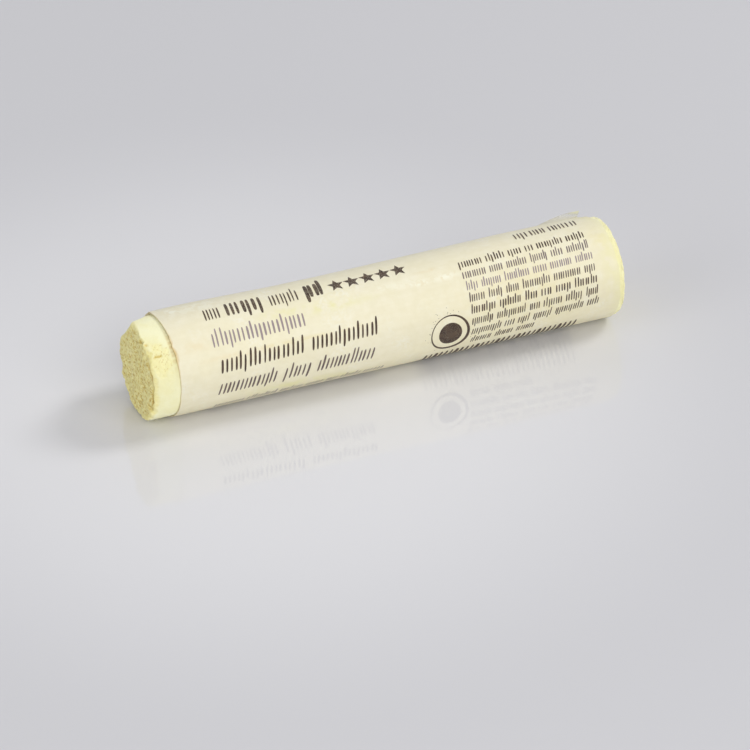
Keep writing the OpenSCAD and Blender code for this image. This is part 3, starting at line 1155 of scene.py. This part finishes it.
def powder_group():
    """Puts loose powder over a colour where a mask and two sizes of noise agree: drifts
    of 4 mm, made of flecks of 0.4 mm."""
    inputs = [("Place", VECTOR, None), ("Color", COLOR, WHITE), ("Powder", COLOR, WHITE)]
    inputs += [("Amount", FLOAT, 0.5)]
    tree, enter, leave = new_group("Loose powder", inputs, [("Color", COLOR)])
    drifts = levels(tree, noise(tree, enter["Place"], 240.0, 4.0), 0.52, 0.75)
    flecks = levels(tree, noise(tree, enter["Place"], 2600.0, 2.0), 0.4, 0.6)
    mask = times(tree, math_of(tree, "MULTIPLY", drifts, flecks), enter["Amount"])
    tree.links.new(mix(tree, mask, enter["Color"], enter["Powder"]), leave["Color"])
    return tree


soft_patches = patches_group()
fine_grain_group = grain_group()
loose_powder = powder_group()


def patches(tree, place, size, low, high, detail=3.0):
    """A mask of soft patches of a size in mm, between two levels of the noise."""
    return use_group(tree, soft_patches, Place=place, Size_mm=size, Low=low, High=high, Detail=detail)["Mask"]


def powdered(tree, place, colour, powder, amount):
    """A colour with loose powder over it."""
    return use_group(tree, loose_powder, Place=place, Color=colour, Powder=powder, Amount=amount)["Color"]


def add_relief(tree, shader, height, strength, distance):
    """Links a height to the shader's normal as bump, with its distance in mm."""
    settings = {"Height": height, "Strength": strength, "Distance": distance * MM}
    tree.links.new(node(tree, "ShaderNodeBump", settings).outputs["Normal"], shader.inputs["Normal"])


print("node groups:", [g.name for g in bpy.data.node_groups])

# %% [markdown]
# ## Chalk
# Pressed pigment is as matt as a surface gets, so the shader is very rough, with next
# to no gloss. The rubbed skin of the side is pale, because fine powder covers it. The
# broken face shows the fresh mass, deeper and more golden, partly its own colour and
# partly painted shade of the face, which lies in shade. Its slits are painted darker
# still, as shade, because light hardly gets out of them. The values stored on the mesh
# say which is which, so colour and shape can't drift apart.

# %% Chalk material
skin_pale = srgb(249, 247, 210)
skin_deep = srgb(246, 242, 197)
# The broken mass: partly its own deeper colour, partly painted shade of the shaded worn face
mass_and_shade_pale = srgb(251, 244, 184)
mass_and_shade_deep = srgb(244, 234, 159)
# Painted shade of the slits, pores, groove, crack, pit and holes, in dark gold; it also colours the golden
# seam
pit_shade_and_seam_gold = srgb(201, 162, 52)
chalk_dust = srgb(252, 249, 216)
pit_shade_and_seam_cover = 0.84


def chalk_material():
    """Pale rubbed skin, deeper broken mass that is partly painted shade, and painted shade in golden slits,
    all matt.
    """
    finish = {"Roughness": 0.95, "Specular IOR Level": 0.15, "Diffuse Roughness": 0.6}
    material, tree, shader, place = new_material("chalk", finish)
    skin_tone = mix(tree, patches(tree, place, 2.6, 0.35, 0.65), skin_pale, skin_deep)
    # The broken mass's tone, partly painted shade
    mass_and_shade_tone = mix(tree, patches(tree, place, 0.35, 0.3, 0.75), mass_and_shade_pale, mass_and_shade_deep)
    body = mix(tree, attribute(tree, "skin"), mass_and_shade_tone, skin_tone)
    # Painted shade in the pits, and the golden seam
    slit = times(tree, math_of(tree, "POWER", attribute(tree, "pit_shade_and_seam"), 0.7), pit_shade_and_seam_cover)
    pitted = mix(tree, slit, body, pit_shade_and_seam_gold)
    tree.links.new(powdered(tree, place, pitted, chalk_dust, 0.35), shader.inputs["Base Color"])
    height = use_group(tree, fine_grain_group, Place=place, Size_mm=0.22)["Height"]
    add_relief(tree, shader, height, 0.35, 0.06)
    return material


stick.data.materials.append(chalk_material())
print("chalk on", stick.name)

# %% [markdown]
# ## Paper
# The sleeve is thin smooth paper that lets light through and has taken up the colour of
# the stick. Large blotches, small clouds and streaks along the roll keep its cream from
# being even. The stored stains are broken up by noise, the worn-end edge has a golden
# line, and the far edge is tinged with chalk. The loose corner has no stick behind it,
# so it gets painted grey shade and one can see through it, but its tip is still yellow
# with powder.

# %% Paper material
cream_pale = srgb(245, 238, 209)
cream_deep = srgb(245, 237, 198)
cloud_tone = srgb(237, 229, 194)
streak_tone = srgb(237, 228, 192)
warm_tone = srgb(236, 216, 168)
yellow_tone = srgb(236, 231, 166)
edge_gold = srgb(208, 175, 94)
far_tint = srgb(243, 238, 184)
loose_shade_grey = srgb(202, 201, 192)
tip_yellow = srgb(238, 234, 184)
caked_powder = srgb(251, 248, 224)
fine_powder = srgb(250, 248, 234)
along_roll = (0.1, 1.0, 1.0)
# The part of the loose value over which its yellow tip comes in, and how strong it gets
tip_range, tip_share = (0.6, 0.8), 0.65


def paper_colour(tree, place, loose):
    """Pale cream under layers, each a mask, its share and the colour that it brings."""
    rolled = stretched(tree, place, along_roll)
    uneven = patches(tree, place, 1.3, 0.34, 0.6, detail=4.0)
    layers = [
        (patches(tree, place, 9.0, 0.42, 0.66), 0.5, cream_deep),
        (patches(tree, place, 0.9, 0.3, 0.7, detail=4.0), 0.5, cloud_tone),
        (patches(tree, rolled, 0.8, 0.35, 0.7), 0.35, streak_tone),
        (attribute(tree, "warm"), uneven, warm_tone),
        (attribute(tree, "yellow"), uneven, yellow_tone),
        (attribute(tree, "edge"), 0.85, edge_gold),
        (attribute(tree, "far_edge"), 0.5, far_tint),
        # Painted grey shade on the loose corner
        (loose, 1.2, loose_shade_grey),
        (levels(tree, loose, *tip_range), tip_share, tip_yellow),
        (patches(tree, place, 0.75, 0.44, 0.56, detail=5.0), attribute(tree, "powder"), caked_powder),
    ]
    tone = cream_pale
    for mask, share, brought in layers:
        tone = mix(tree, times(tree, mask, share), tone, brought)
    return powdered(tree, place, tone, fine_powder, 0.5)


def paper_material():
    """Stained cream paper with a low gloss, which one can see through where it is loose."""
    material, tree, shader, place = new_material("sleeve paper", {"Specular IOR Level": 0.7})
    loose = attribute(tree, "loose")
    tree.links.new(paper_colour(tree, place, loose), shader.inputs["Base Color"])
    uneven_gloss = patches(tree, place, 1.6, 0.3, 0.7)
    matt = math_of(tree, "ADD", times(tree, uneven_gloss, 0.14), 0.36)
    tree.links.new(matt, shader.inputs["Roughness"])
    tip = times(tree, levels(tree, loose, *tip_range), tip_share)
    thin = math_of(tree, "SUBTRACT", times(tree, loose, 1.7), tip, clamp=True)
    solid_share = math_of(tree, "SUBTRACT", 1.0, times(tree, thin, 0.78))
    tree.links.new(solid_share, shader.inputs["Alpha"])
    fibres = use_group(tree, fine_grain_group, Place=place, Size_mm=0.5, Stretch=(0.35, 1.0, 1.0))
    add_relief(tree, shader, fibres["Height"], 0.25, 0.04)
    return material


sheet.data.materials.append(paper_material())
print("paper on", sheet.name)

# %% [markdown]
# ## Ink
# The print is a dark brown-black that has aged unevenly. Two rows have faded to a
# purple grey, and the bold rows are rubbed, with the paper showing in flecks. The faded
# and rubbed values come with each patch. Rubbing is a noise that eats into the ink's
# Alpha, more of it where the rubbed value is high.

# %% Ink material
ink_dark = srgb(68, 52, 43)
ink_brown = srgb(100, 82, 66)
ink_faded = srgb(160, 145, 147)
ink_cover = 0.94


def ink_material():
    """Aged printing ink: brown-black to purple grey, with flecks rubbed away."""
    finish = {"Roughness": 0.5, "Specular IOR Level": 0.4}
    material, tree, shader, place = new_material("sleeve ink", finish)
    dark = mix(tree, patches(tree, place, 0.9, 0.35, 0.7), ink_dark, ink_brown)
    colour = mix(tree, attribute(tree, "faded"), dark, ink_faded)
    tree.links.new(colour, shader.inputs["Base Color"])
    lost = times(tree, patches(tree, place, 0.12, 0.48, 0.62), attribute(tree, "rubbed"))
    tree.links.new(math_of(tree, "SUBTRACT", ink_cover, lost), shader.inputs["Alpha"])
    return material


print_film.data.materials.append(ink_material())
print("ink on", print_film.name)

# %% [markdown]
# ## Table, light and camera
# The stick lies on a pale, slightly glossy table, painted as a pool of light: lighter near the stick and a
# little darker away from it.
# Light comes from a soft window on the right, which leaves the worn face in shade and
# lays a short shadow beyond it, and from a large soft panel in front. A low card lifts
# the underside, a fill on the left keeps the worn face readable, and a weak panel
# behind lights the back. The world fills the rest. An area lamp of P watts at d metres
# lights a surface that faces it to P / (pi^2 d^2) of its colour, and the powers are set
# so that pale surfaces render about as their colours are written. Glossy rays don't see
# the lamps, since a mirror image of a panel would wash out the table.

# %% Table
table_half = 600.0
table_drop = 0.02
# A painted pool of light on the table: lighter near the stick, darker away from it
pool_lit_tone = srgb(230, 229, 229)
pool_falloff_tone = srgb(212, 211, 212)
# In metres, as a material's place is
pool_centre = (-0.018, 0.0, 0.0)
pool_from = 0.025
pool_to = 0.075


def make_table():
    """A flat square under the stick, a hair below it."""
    corners = np.array([(-1, -1), (1, -1), (1, 1), (-1, 1)]) * table_half
    points = np.column_stack([corners, np.full(4, -table_drop)])
    table = make_piece("table", points, np.array([[0, 1, 2, 3]]))
    table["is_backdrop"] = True
    finish = {"Roughness": 0.03, "Specular IOR Level": 0.8}
    material, tree, shader, place = new_material("pale table", finish)
    # Painted falloff of light with distance from the pool's centre
    away = node(tree, "ShaderNodeVectorMath", {0: place, 1: pool_centre}, operation="DISTANCE")
    tone = levels(tree, away.outputs["Value"], pool_from, pool_to, interpolation_type="SMOOTHSTEP")
    tree.links.new(mix(tree, tone, pool_lit_tone, pool_falloff_tone), shader.inputs["Base Color"])
    table.data.materials.append(material)
    return table


table = make_table()

# %% Lamps
lamp_aim = (0, 0, 5)
# Name, azimuth, elevation, distance, width and height in mm, power in W
lamps = [
    ("right window", 90, 46, 1100, 330, 330, 3.95),
    ("front panel", 5, 34, 900, 800, 560, 3.36),
    ("low card", 0, 8, 700, 500, 160, 0.46),
    ("left fill", -75, 30, 700, 400, 300, 0.74),
    ("back panel", 170, 50, 900, 400, 300, 0.35),
]


def place_facing(thing, target, azimuth, elevation, distance):
    """Puts a lamp or camera so many mm from a target, with its -Z towards it and its Y
    up. Azimuth 0 is in front and 90 on the right."""
    a, e = math.radians(azimuth), math.radians(elevation)
    away = np.array([math.sin(a) * math.cos(e), -math.cos(a) * math.cos(e), math.sin(e)])
    thing.location = (np.asarray(target) + away * distance) * MM
    thing.rotation_euler = Vector((-away).tolist()).to_track_quat("-Z", "Y").to_euler()
    bpy.context.scene.collection.objects.link(thing)


for name, azimuth, elevation, distance, width, height, power in lamps:
    lamp = bpy.data.lights.new(name, "AREA")
    lamp.shape = "RECTANGLE"
    lamp.size = width * MM
    lamp.size_y = height * MM
    lamp.energy = power
    carrier = bpy.data.objects.new(name, lamp)
    carrier.visible_glossy = False
    place_facing(carrier, lamp_aim, azimuth, elevation, distance)
print("lamps:", [lamp[0] for lamp in lamps])

# %% World
fill_colour, fill_strength = srgb(244, 246, 255), 0.39
backdrop_colour, backdrop_strength = srgb(217, 218, 222), 1.0

world = bpy.data.worlds.new("pale room")
bpy.context.scene.world = world
world.use_nodes = True
sky = world.node_tree
sky.nodes.clear()
seen = sky.nodes.new("ShaderNodeLightPath")
straight = math_of(sky, "MAXIMUM", seen.outputs["Is Camera Ray"], seen.outputs["Is Glossy Ray"])
straight = math_of(sky, "MAXIMUM", straight, seen.outputs["Is Transmission Ray"])
fill = node(sky, "ShaderNodeBackground", {"Color": fill_colour, "Strength": fill_strength})
backdrop = node(sky, "ShaderNodeBackground", {"Color": backdrop_colour, "Strength": backdrop_strength})
either = node(sky, "ShaderNodeMixShader", {0: straight, 1: fill.outputs[0], 2: backdrop.outputs[0]})
node(sky, "ShaderNodeOutputWorld", {"Surface": either.outputs[0]})
bpy.context.scene.view_settings.view_transform = "Standard"
print("world fill", fill_strength)

# %% Camera
camera_azimuth = -22.8
camera_elevation = 33.0
camera_distance = 538.8
camera_target = (-0.15, 0.0, -2.33)
camera_lens = 200.5

lens = bpy.data.cameras.new("camera")
lens.lens = camera_lens
lens.sensor_width = 36.0
lens.clip_start = 0.01
lens.clip_end = 10.0
camera = bpy.data.objects.new("camera", lens)
place_facing(camera, camera_target, camera_azimuth, camera_elevation, camera_distance)
bpy.context.scene.camera = camera
print("camera at", [round(v, 3) for v in camera.location])

# %% [markdown]
# ## Sizes and finish
# The boxes of the imported model and of the visual model are printed.

# %% Write the sizes and finish
visual_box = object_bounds()
for label, box in (("cad", cad_box), ("visual", visual_box)):
    print(label, [[round(c / MM, 2) for c in corner] for corner in box])
